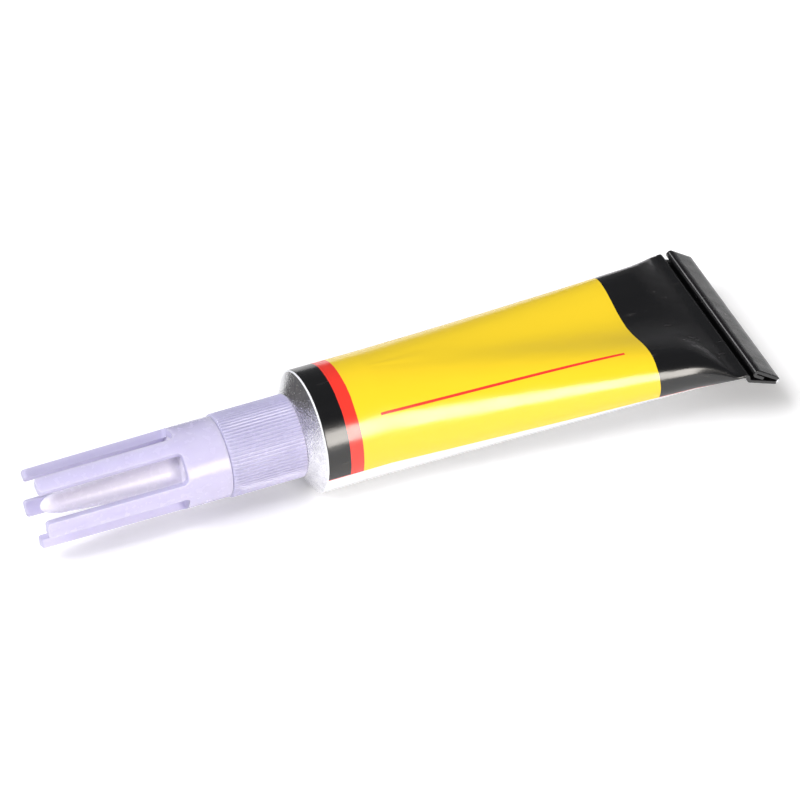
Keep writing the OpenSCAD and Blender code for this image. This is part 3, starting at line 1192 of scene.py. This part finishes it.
@dataclass
class FoldedEnd:
    """End of the tube, folded over twice across its full width."""

    sizes: Stations = STATIONS
    half_t: float = 0.2
    runs: tuple[FoldRun, ...] = (
        FoldRun(0.3, -80.0, 0.25),
        FoldRun(0.44, 58.0, 0.25),
        FoldRun(3.2, 166.0, 0.27),
        FoldRun(2.8, 180.0, 0.25),
        FoldRun(1.1, 0.0, 0.25),
    )
    bend_steps: int = 10
    straight_steps: int = 6
    rows: int = 90
    skin: float = 0.002
    crease: float = 45.0
    end_rounding: tuple[Pair, ...] = ((0.0, 0.62), (0.012, 0.82), (0.035, 0.94))
    end_round: float = 0.07
    # Points along the third bend whose side faces take bare metal as a painted glint; the sides
    # there are black enamel.
    glint_points: tuple[int, int] = (40, 46)
    held_points: int = 20
    wave: float = 0.035
    lift_pitch: Pair = (0.35, 0.05)
    lift_shift: float = 4.0
    push_pitch: Pair = (0.5, 0.04)
    push_shift: float = 8.0
    push_share: float = 0.6

    def cuts(self) -> list[Pair]:
        """Cuts across the fold, closer together at its rounded ends.

        Returns:
            Place of each cut and the share of the thickness there.
        """
        flat = self.sizes.section(self.sizes.web_x)
        half = flat.half + flat.side - self.skin
        inner = half - self.end_round
        ends = [(half - back, share) for back, share in self.end_rounding]
        level = [(inner * (1 - 2 * k / self.rows), 1.0) for k in range(self.rows + 1)]
        return ends + level + [(-y, share) for y, share in reversed(ends)]

    def middle_line(self) -> list[tuple[float, float, float]]:
        """Middle line of the strip.

        Returns:
            Place, height and heading in radians of each point.
        """
        x, z, heading = self.sizes.fold_x - self.sizes.lap, self.sizes.end_lift, 0.0
        line = [(x, z, heading)]
        for run in self.runs:
            step = run.length / self.straight_steps
            for _ in range(self.straight_steps):
                x += step * math.cos(heading)
                z += step * math.sin(heading)
                line.append((x, z, heading))
            if run.turn == 0.0:
                continue
            side = math.copysign(run.radius, run.turn)
            cx, cz = x - side * math.sin(heading), z + side * math.cos(heading)
            for i in range(1, self.bend_steps + 1):
                h = heading + math.radians(run.turn) * i / self.bend_steps
                line.append((cx + side * math.sin(h), cz - side * math.cos(h), h))
            x, z, heading = line[-1]
        return line

    def waver(self, y: float, n: int) -> Pair:
        """How far the strip strays from its line, more so away from the sleeve.

        Args:
            y: Place across the fold.
            n: Number of the point along the strip.

        Returns:
            Rise and push towards the cap in millimetres.
        """
        free = min(1.0, n / self.held_points)
        across, along = self.lift_pitch
        lift = noise.noise(Vector((y * across, n * along, self.lift_shift)))
        across, along = self.push_pitch
        push = noise.noise(Vector((y * across, n * along, self.push_shift)))
        return self.wave * free * lift, abs(self.push_share * self.wave * free * push)

    def build(self, enamel: Material, metal: Material) -> Piece:
        """Make the folded strip.

        Args:
            enamel: Finish of its faces.
            metal: Finish of its cut edges, and of a painted glint on the sides of the third bend.

        Returns:
            The piece.
        """
        grid = Grid()
        printed, bare = 0, 1
        line = self.middle_line()
        loops = []
        for y, share in self.cuts():
            half_t = self.half_t * share
            above, below = [], []
            for n, (x, z, h) in enumerate(line):
                lift, push = self.waver(y, n)
                nx, nz = -math.sin(h) * half_t, math.cos(h) * half_t
                above.append((x + nx - push, y, z + nz + lift))
                below.append((x - nx - push, y, z - nz + lift))
            loops.append((grid.row(above), grid.row(below)))
        for (a0, b0), (a1, b1) in zip(loops, loops[1:]):
            grid.band(a0, a1, printed, closed=False)
            grid.band(b0, b1, printed, closed=False)
            grid.face((a0[0], a1[0], b1[0], b0[0]), printed)
            grid.face((a0[-1], a1[-1], b1[-1], b0[-1]), bare)
        # Bare metal on the sides of the third bend is a painted glint.
        first, last = self.glint_points
        for above, below in (loops[0], loops[-1]):
            for n in range(len(line) - 1):
                corners = (above[n], above[n + 1], below[n + 1], below[n])
                grid.face(corners, bare if first <= n < last else printed)
        made = grid.build("folded_end", [enamel, metal], self.crease)
        made.data.attributes.new("way", "FLOAT", "POINT")
        return made


@dataclass
class Nozzle:
    """Ribbed screw collar with its tapered spout.

    The edges are rows of a profile: how far each point lies in or out from a
    radius, and how far along the axis from the face that the edge belongs to.
    """

    sizes: Stations = STATIONS
    bore_r: float = 0.45
    socket_r: float = 3.51
    rib_count: int = 72
    rib_depth: float = 0.14
    bevel: float = 0.3
    crease: float = 32.0
    rib_steps: int = 8
    spout_steps: int = 12
    seat_in: float = 0.1
    back_edge: float = 0.005
    back_rise: float = 0.85
    rib_start: float = 0.02
    front_edge: tuple[Point, ...] = ((0.02, 0.16, 0.5), (0.10, 0.05, 0.12), (0.19, 0.0, 0.0))
    spout_fillet: tuple[Pair, ...] = ((0.30, 0.0), (0.08, 0.06))
    spout_start: float = 0.15
    spout_ends: float = 0.4
    tip_edge: tuple[Pair, ...] = ((0.0, 0.1), (0.03, 0.03), (0.1, 0.0))
    bore_edge: tuple[Pair, ...] = ((0.05, 0.0), (0.0, 0.06))
    chamber_bevel: float = 0.3
    rib_course: tuple[Pair, ...] = (
        (0.0, 0.90),
        (0.05, 1.0),
        (0.25, 1.0),
        (0.30, 0.90),
        (0.48, 0.08),
        (0.54, 0.0),
        (0.76, 0.0),
        (0.82, 0.08),
    )

    def profile(self) -> list[tuple[float, float, float]]:
        """Closed outline of the nozzle, from the socket round the outside to the bore.

        Returns:
            Radius, place and share of the rib's height that reaches each point.
        """
        z = self.sizes
        root = z.collar_r - self.rib_depth
        back, front, tip = z.collar_back_x, z.collar_front_x, z.spout_tip_x
        seat_r = root - self.seat_in
        chamber, bevel = z.neck_x - 2 * z.neck_clear, self.chamber_bevel
        base_r = z.spout_r(front)
        rib_len = z.collar_len - self.bevel - self.rib_start
        rib_from, steps = back - self.rib_start, self.rib_steps
        ribbed = [rib_from - rib_len * i / steps for i in range(steps + 1)]
        spout_len = z.spout_len - self.spout_ends
        spout_from, steps = front - self.spout_start, self.spout_steps
        spout = [spout_from - spout_len * i / steps for i in range(steps + 1)]
        return [
            (self.socket_r, z.shoulder_x(self.socket_r) - z.seat_gap, 0.0),
            (seat_r, z.shoulder_x(seat_r) - z.seat_gap, 0.0),
            (root, back - self.back_edge, self.back_rise),
            *[(root, x, 1.0) for x in ribbed],
            *[(root - in_by, front + off, rise) for in_by, off, rise in self.front_edge],
            *[(base_r + out, front - off, 0.0) for out, off in self.spout_fillet],
            *[(z.spout_r(x), x, 0.0) for x in spout],
            *[(z.spout_tip_r - in_by, tip + off, 0.0) for in_by, off in self.tip_edge],
            *[(self.bore_r + out, tip + off, 0.0) for out, off in self.bore_edge],
            (self.bore_r, chamber - bevel, 0.0),
            (self.socket_r - bevel, chamber, 0.0),
            (self.socket_r, chamber + bevel, 0.0),
        ]

    def build(self, plastic: Material, ring: RingArray) -> Piece:
        """Make one rib's sector and repeat it round the axis.

        Args:
            plastic: Finish of the nozzle.
            ring: Tree that repeats the sector.

        Returns:
            The piece.
        """
        grid = Grid()
        step = 360.0 / self.rib_count
        profile = self.profile()
        rows = []
        for share, height in [*self.rib_course, (1.0, self.rib_course[0][1])]:
            rise = self.rib_depth * height
            points = [turned_point(x, r + rise * reach, share * step) for r, x, reach in profile]
            rows.append(grid.row(points))
        for a, b in zip(rows, rows[1:]):
            grid.band(a, b)
        sector = grid.build("nozzle_body", [plastic], self.crease)
        return ring.repeat(sector, self.rib_count, plastic, self.crease)


@dataclass
class Cap:
    """Push-on cap: grip ring, five guard fingers and the inner cone.

    The edges of the cone's floor are rows of a profile: how far each point lies in
    or out from a radius, and how far behind the slots' closed end.
    """

    sizes: Stations = STATIONS
    grip_len: float = 4.8
    wall: float = 0.92
    finger_count: int = 5
    finger_angle: float = 25.0
    finger_start: float = 4.0
    finger_reach: float = 0.645
    draft: float = 0.1
    corner_r: float = 0.6
    tip_corner_r: float = 0.38
    edge_round: float = 0.11
    edge_segments: int = 3
    edge_angle: float = 50.0
    floor_wall: float = 1.0
    floor_edge: tuple[Pair, ...] = ((0.0, 0.12), (0.5, 0.05))
    root_fillet: tuple[Pair, ...] = ((0.35, 0.0), (0.1, -0.1))
    cone_clear: float = 0.06
    cone_wall: float = 0.5
    tip_room: float = 0.3
    spike_len: float = 1.8
    nose_len: float = 2.8
    nose_r: float = 1.2
    finger_columns: int = 10
    slot_columns: int = 22
    corner_columns: int = 6
    cone_columns: int = 96
    ring_rows: int = 12
    finger_rows: int = 30
    tip_rows: int = 5
    cone_rows: int = 16
    nose_rows: int = 14

    @property
    def pitch(self) -> float:
        """Angle from one finger to the next in degrees."""
        return 360.0 / self.finger_count

    @property
    def slot_x(self) -> float:
        """Place of the slots' closed end."""
        return self.sizes.cap_back_x - self.grip_len

    @property
    def nose_x(self) -> float:
        """Place where the cone's rounded point starts."""
        return self.sizes.spout_tip_x - self.tip_room - self.spike_len

    @property
    def end_x(self) -> float:
        """Place of the fingers' ends."""
        return self.nose_x - self.nose_len - self.finger_reach

    def outer_r(self, x: float) -> float:
        """Outer radius of the ring or of a finger at place x."""
        share = max(0.0, (self.slot_x - x) / (self.slot_x - self.end_x))
        return self.sizes.cap_r - self.draft * share

    def ring_end(self, angle: float) -> float:
        """Place where the ring passes into a finger or ends in a slot.

        Args:
            angle: Angle from the nearest finger's middle in degrees.

        Returns:
            Place along the axis, with the slot's rounded corner.
        """
        from_side = math.radians(abs(angle) - self.finger_angle / 2) * self.sizes.cap_r
        if from_side <= 0.0:
            return self.slot_x - self.corner_r
        if from_side >= self.corner_r:
            return self.slot_x
        rest = self.corner_r - from_side
        return self.slot_x - self.corner_r + math.sqrt(self.corner_r**2 - rest**2)

    def sector_angles(self) -> tuple[list[float], list[float]]:
        """Angles of the columns of one sector.

        Returns:
            Angles across one finger, and across the slot that follows it.
        """
        half = self.finger_angle / 2
        corner = math.degrees(self.corner_r / self.sizes.cap_r)
        count, steps = self.finger_columns, self.corner_columns
        across = [-half + self.finger_angle * i / count for i in range(count + 1)]
        bends = [corner * (1 - math.cos(math.pi / 2 * i / steps)) for i in range(1, steps + 1)]
        near, far = half, self.pitch - half
        start, end = near + corner, far - corner
        flat = self.slot_columns - 2 * steps
        between = [start + (end - start) * i / flat for i in range(1, flat)]
        gap = [near + b for b in bends] + between + [far - b for b in reversed(bends)]
        return across, gap

    def add_ring(self, grid: Grid, angles: Sequence[float]) -> list[int]:
        """Add the outside of one sector of the grip ring.

        Args:
            grid: Mesh under construction.
            angles: Angles across the sector in degrees.

        Returns:
            Numbers of the points along its front edge.
        """
        back = self.sizes.cap_back_x
        rows = []
        for j in range(self.ring_rows + 1):
            share = j / self.ring_rows
            row = []
            for a in angles:
                near = a if a <= self.pitch / 2 else a - self.pitch
                x = back + (self.ring_end(near) - back) * share
                row.append(turned_point(x, self.outer_r(x), self.finger_start + a))
            rows.append(grid.row(row))
        for before, after in zip(rows, rows[1:]):
            grid.band(before, after, closed=False)
        return rows[-1]

    def add_finger(self, grid: Grid, root: list[int], angles: Sequence[float]) -> None:
        """Add the outside of one finger with its rounded end.

        Args:
            grid: Mesh under construction.
            root: Numbers of the ring's points that the finger starts from.
            angles: Angles across the finger in degrees.
        """
        corner, half = self.tip_corner_r, self.finger_angle / 2
        start, bend_x = self.slot_x - self.corner_r, self.end_x + corner
        run, turns = self.finger_rows, self.tip_rows
        straight = [start + (bend_x - start) * i / run for i in range(1, run + 1)]
        sines = [math.sin(math.pi / 2 * i / turns) for i in range(1, turns + 1)]
        last = root
        for x in straight + [self.end_x + corner * (1 - s) for s in sines]:
            past = max(0.0, bend_x - x)
            drop = corner - math.sqrt(max(0.0, corner**2 - past**2))
            width = 1.0 - math.degrees(drop / self.sizes.cap_r) / half
            r = self.outer_r(x)
            new = grid.row([turned_point(x, r, self.finger_start + a * width) for a in angles])
            grid.band(last, new, closed=False)
            last = new

    def thicken(self, made: Piece) -> None:
        """Give the outside its wall and round the edges.

        Args:
            made: Piece with the outside, whose second finish goes on the new faces.
        """
        wall = made.modifiers.new("wall", "SOLIDIFY")
        wall.material_offset = wall.material_offset_rim = 1
        wall.thickness = self.wall * MM
        wall.offset = -1.0
        wall.use_even_offset = True
        applied(made)
        edge = made.modifiers.new("edge", "BEVEL")
        edge.width = self.edge_round * MM
        edge.segments = self.edge_segments
        edge.limit_method = "ANGLE"
        edge.angle_limit = math.radians(self.edge_angle)
        applied(made, self.edge_angle)

    def shell(self, plastic: Material, inner: Material, ring: RingArray) -> Piece:
        """Make the grip ring with its fingers.

        Args:
            plastic: Finish of the cap's outside.
            inner: Duller finish inside the cap and on the sides of the fingers, its darker colour
                painted shade.
            ring: Tree that repeats the sector.

        Returns:
            The piece.
        """
        grid = Grid()
        across, gap = self.sector_angles()
        front = self.add_ring(grid, [*across, *gap, self.pitch - self.finger_angle / 2])
        self.add_finger(grid, front[: len(across)], across)
        sector = grid.build("cap_fingers", [plastic])
        made = ring.repeat(sector, self.finger_count, plastic)
        self.face_outwards(made)
        made.data.materials.append(inner)
        self.thicken(made)
        return made

    @staticmethod
    def face_outwards(made: Piece) -> None:
        """Turn the faces of an open sheet away from the X axis.

        Args:
            made: Object with the sheet.
        """
        work = bmesh.new()
        work.from_mesh(made.data)
        for face in work.faces:
            middle = face.calc_center_median()
            if face.normal.y * middle.y + face.normal.z * middle.z < 0:
                face.normal_flip()
        work.to_mesh(made.data)
        work.free()

    def cone(self, plastic: Material) -> Piece:
        """Make the floor with the inner cone and its piercing point.

        Args:
            plastic: Paler copy of the cap's finish, its lightness painted light in the fingers'
                shade.

        Returns:
            The piece.
        """
        z = self.sizes
        wall = self.cone_clear + self.cone_wall
        back, slot = z.cap_back_x, self.slot_x
        floor_x = slot + self.floor_wall
        socket_x = z.spout_tip_x - self.tip_room
        rim_r = z.cap_r - self.wall / 2
        root_r = z.spout_r(slot) + wall
        steps, turns = self.cone_rows, self.nose_rows
        outside = [slot - (slot - socket_x) * i / steps for i in range(1, steps + 1)]
        nose = [math.pi / 2 * i / turns for i in range(turns)]
        profile = [
            (z.spout_r(back) + self.cone_clear, back),
            (z.spout_r(back) + wall, back),
            (z.spout_r(floor_x) + wall, floor_x),
            (rim_r, floor_x),
            *[(rim_r - in_by, slot + off) for in_by, off in self.floor_edge],
            *[(root_r + out, slot + off) for out, off in self.root_fillet],
            *[(z.spout_r(x) + wall, x) for x in outside],
            *[(self.nose_r * math.cos(a), self.nose_x - self.nose_len * math.sin(a)) for a in nose],
        ]
        grid = Grid()
        rows = [grid.row(self.ring(r, x)) for r, x in profile]
        tip = grid.row([(self.nose_x - self.nose_len, 0.0, 0.0)])[0]
        for a, b in zip(rows, rows[1:]):
            grid.band(a, b)
        grid.fan(rows[-1], tip)
        socket = grid.row(self.ring(z.spout_tip_r + self.cone_clear, socket_x))
        grid.band(rows[0], socket)
        grid.fan(socket, grid.row([(socket_x, 0.0, 0.0)])[0])
        return grid.build("cap_cone", [plastic])

    def ring(self, r: float, x: float) -> list[Point]:
        """Points of a full circle of radius r at place x."""
        return [turned_point(x, r, 360.0 * i / self.cone_columns) for i in range(self.cone_columns)]


@dataclass(frozen=True)
class Softbox:
    """One rectangular lamp aimed at the tube."""

    name: str
    place: Point
    size: Pair
    power: float
    colour: Colour = (1.0, 1.0, 1.0)
    aim: Point = AIM

    def add(self) -> None:
        """Add the lamp to the scene, unseen by the camera itself."""
        light = bpy.data.lights.new(self.name, "AREA")
        light.shape = "RECTANGLE"
        light.size, light.size_y = self.size
        light.energy = self.power
        light.color = self.colour
        made = bpy.data.objects.new(self.name, light)
        made.location = self.place
        made.rotation_mode = "QUATERNION"
        ahead = Vector(self.aim) - Vector(self.place)
        made.rotation_quaternion = ahead.to_track_quat("-Z", "Y")
        made.visible_camera = False
        bpy.context.scene.collection.objects.link(made)


@dataclass(frozen=True)
class DarkCard:
    """Upright dark card beside the tube, which only gloss and metal mirror."""

    name: str
    place: Point
    size: Pair
    aim: Point = AIM

    def add(self, finish: Material) -> None:
        """Add the card to the scene, unseen by the camera itself.

        Args:
            finish: Material of the card.
        """
        width, height = self.size
        middle = Vector(self.place)
        ahead = Vector(self.aim) - middle
        aside = Vector((-ahead.y, ahead.x, 0.0)).normalized() * (width / 2)
        rise = Vector((0.0, 0.0, height / 2))
        signs = ((-1, -1), (1, -1), (1, 1), (-1, 1))
        corners = [middle + aside * across + rise * up for across, up in signs]
        mesh = bpy.data.meshes.new(self.name)
        mesh.from_pydata(corners, [], [(0, 1, 2, 3)])
        mesh.materials.append(finish)
        made = bpy.data.objects.new(self.name, mesh)
        made.visible_camera = False
        made.visible_shadow = False
        made.visible_diffuse = False
        bpy.context.scene.collection.objects.link(made)


@dataclass(frozen=True)
class Studio:
    """White floor, soft lamps, dark cards and the camera."""

    camera_place: Point = (-178.93, -439.527, 421.773)
    camera_right: Point = (0.91762, -0.39745, -0.00119)
    camera_ahead: Point = (0.29769, 0.68927, -0.66052)
    lens: float = 270.0
    sensor: float = 36.0
    clip: Pair = (0.05, 20.0)
    floor_half: float = 3.0
    world_colour: Colour = (0.93, 0.95, 1.0)
    world_strength: float = 0.15
    lamps: tuple[Softbox, ...] = (
        Softbox("back_softbox", (-0.75, 1.35, 1.75), (1.0, 0.9), 12.0),
        Softbox("front_softbox", (0.60, -1.81, 0.58), (0.75, 0.95), 25.0, (1.0, 0.95, 0.89)),
        Softbox("left_softbox", (-1.45, -0.35, 2.05), (1.4, 1.4), 54.0, (0.98, 0.98, 1.0)),
    )
    cards: tuple[DarkCard, ...] = (
        DarkCard("right_card", (0.085, 0.040, 0.016), (0.09, 0.045)),
        DarkCard("left_card", (-0.014, 0.022, 0.004), (0.045, 0.022)),
    )

    def add_floor(self, paper: Material) -> None:
        """Add the floor below the round sleeve.

        Args:
            paper: Finish of the floor.
        """
        half = self.floor_half
        height = -STATIONS.sleeve_r * MM
        mesh = bpy.data.meshes.new("floor")
        corners = [(-half, -half), (half, -half), (half, half), (-half, half)]
        mesh.from_pydata([(x, y, height) for x, y in corners], [], [(0, 1, 2, 3)])
        mesh.materials.append(paper)
        floor = bpy.data.objects.new("floor", mesh)
        bpy.context.scene.collection.objects.link(floor)

    def add_world(self) -> None:
        """Set an even pale surround."""
        world = bpy.data.worlds.new("surround")
        world.use_nodes = True
        back = world.node_tree.nodes["Background"]
        back.inputs["Color"].default_value = (*self.world_colour, 1.0)
        back.inputs["Strength"].default_value = self.world_strength
        bpy.context.scene.world = world

    def add_camera(self) -> None:
        """Add the camera at the photograph's viewing angle."""
        data = bpy.data.cameras.new("camera")
        data.lens = self.lens
        data.sensor_width = self.sensor
        data.clip_start, data.clip_end = self.clip
        made = bpy.data.objects.new("camera", data)
        ahead = Vector(self.camera_ahead).normalized()
        right = Vector(self.camera_right).normalized()
        up = right.cross(ahead)
        turn = Matrix((right, up, -ahead)).transposed()
        made.matrix_world = Matrix.Translation(Vector(self.camera_place) * MM) @ turn.to_4x4()
        bpy.context.scene.collection.objects.link(made)
        bpy.context.scene.camera = made

    def build(self, paper: Material, dark: Material) -> None:
        """Set up the whole studio.

        Args:
            paper: Finish of the floor.
            dark: Finish of the cards.
        """
        bpy.context.scene.view_settings.view_transform = "Standard"
        self.add_floor(paper)
        self.add_world()
        self.add_camera()
        for lamp in self.lamps:
            lamp.add()
        for card in self.cards:
            card.add(dark)


def seat(made: Piece, body: Body, node: str) -> None:
    """Let a piece ride on its body in place of a node and report it.

    Args:
        made: The finished piece.
        body: Body that carries it.
        node: Node that it stands for.
    """
    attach(made, body.value)
    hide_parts(node)
    LOG.info("%s: %d faces on %s", made.name, len(made.data.polygons), body.value)


def dress(node: str, finish: Material) -> None:
    """Give a node that stays a better material and report it.

    Args:
        node: Name of the node.
        finish: Material for all its faces.
    """
    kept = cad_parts[node]
    kept.data.materials.clear()
    kept.data.materials.append(finish)
    LOG.info("%s: kept as packed", node)


def main() -> None:
    """Build every piece, then the studio."""
    logging.basicConfig(level=logging.INFO, format="%(name)s %(message)s")
    enamel = PrintedEnamel().material()
    metal = BareAluminium().material()
    nozzle_plastic = NaturalPolyethylene(
        "nozzle_polyethylene",
        milk=(0.55, 0.53, 0.72),
        deep=(0.51, 0.49, 0.68),
        mark_depth=0.0,
        scatter=0.5,
        scatter_depth=0.3,
    ).material()
    cap_plastic = NaturalPolyethylene("cap_polyethylene").material()
    # Duller copy of the cap's plastic for its inside and the fingers' sides. Its slightly darker
    # colour is painted shade on faces that the front lamp lights strongly.
    shaded_inner_plastic = NaturalPolyethylene(
        "shaded_inner_polyethylene",
        milk=(0.61, 0.58, 0.78),
        deep=(0.58, 0.55, 0.75),
        roughness=(0.4, 0.5),
        scatter=0.3,
        gloss=0.12,
    ).material()
    # The cone is the cap's own plastic. This much paler copy is painted light: it stands in for
    # light reaching the cone through the translucent fingers, in their shade.
    painted_light_cone_plastic = NaturalPolyethylene(
        "painted_light_cone_polyethylene",
        milk=(0.90, 0.86, 0.98),
        deep=(0.87, 0.83, 0.97),
        mark_pitch=0.3,
        mark_depth=0.03,
        scatter=0.2,
    ).material()
    ring = RingArray()

    seat(Sleeve().build(enamel, metal), Body.TUBE, "tube_body")
    seat(FoldedEnd().build(enamel, metal), Body.TUBE, "tube_body")
    seat(Nozzle().build(nozzle_plastic, ring), Body.NOZZLE, "nozzle")
    cap = Cap()
    seat(cap.shell(cap_plastic, shaded_inner_plastic, ring), Body.CAP, "cap")
    seat(cap.cone(painted_light_cone_plastic), Body.CAP, "cap")
    dress("end_seal", SealLatex().material())
    liquid = AdhesiveFill().build(ClearAdhesive().material())
    seat(liquid, Body.TUBE, "adhesive_fill")
    Studio().build(StudioPaper().material(), DarkPaper().material())


if __name__ == "__main__":
    main()
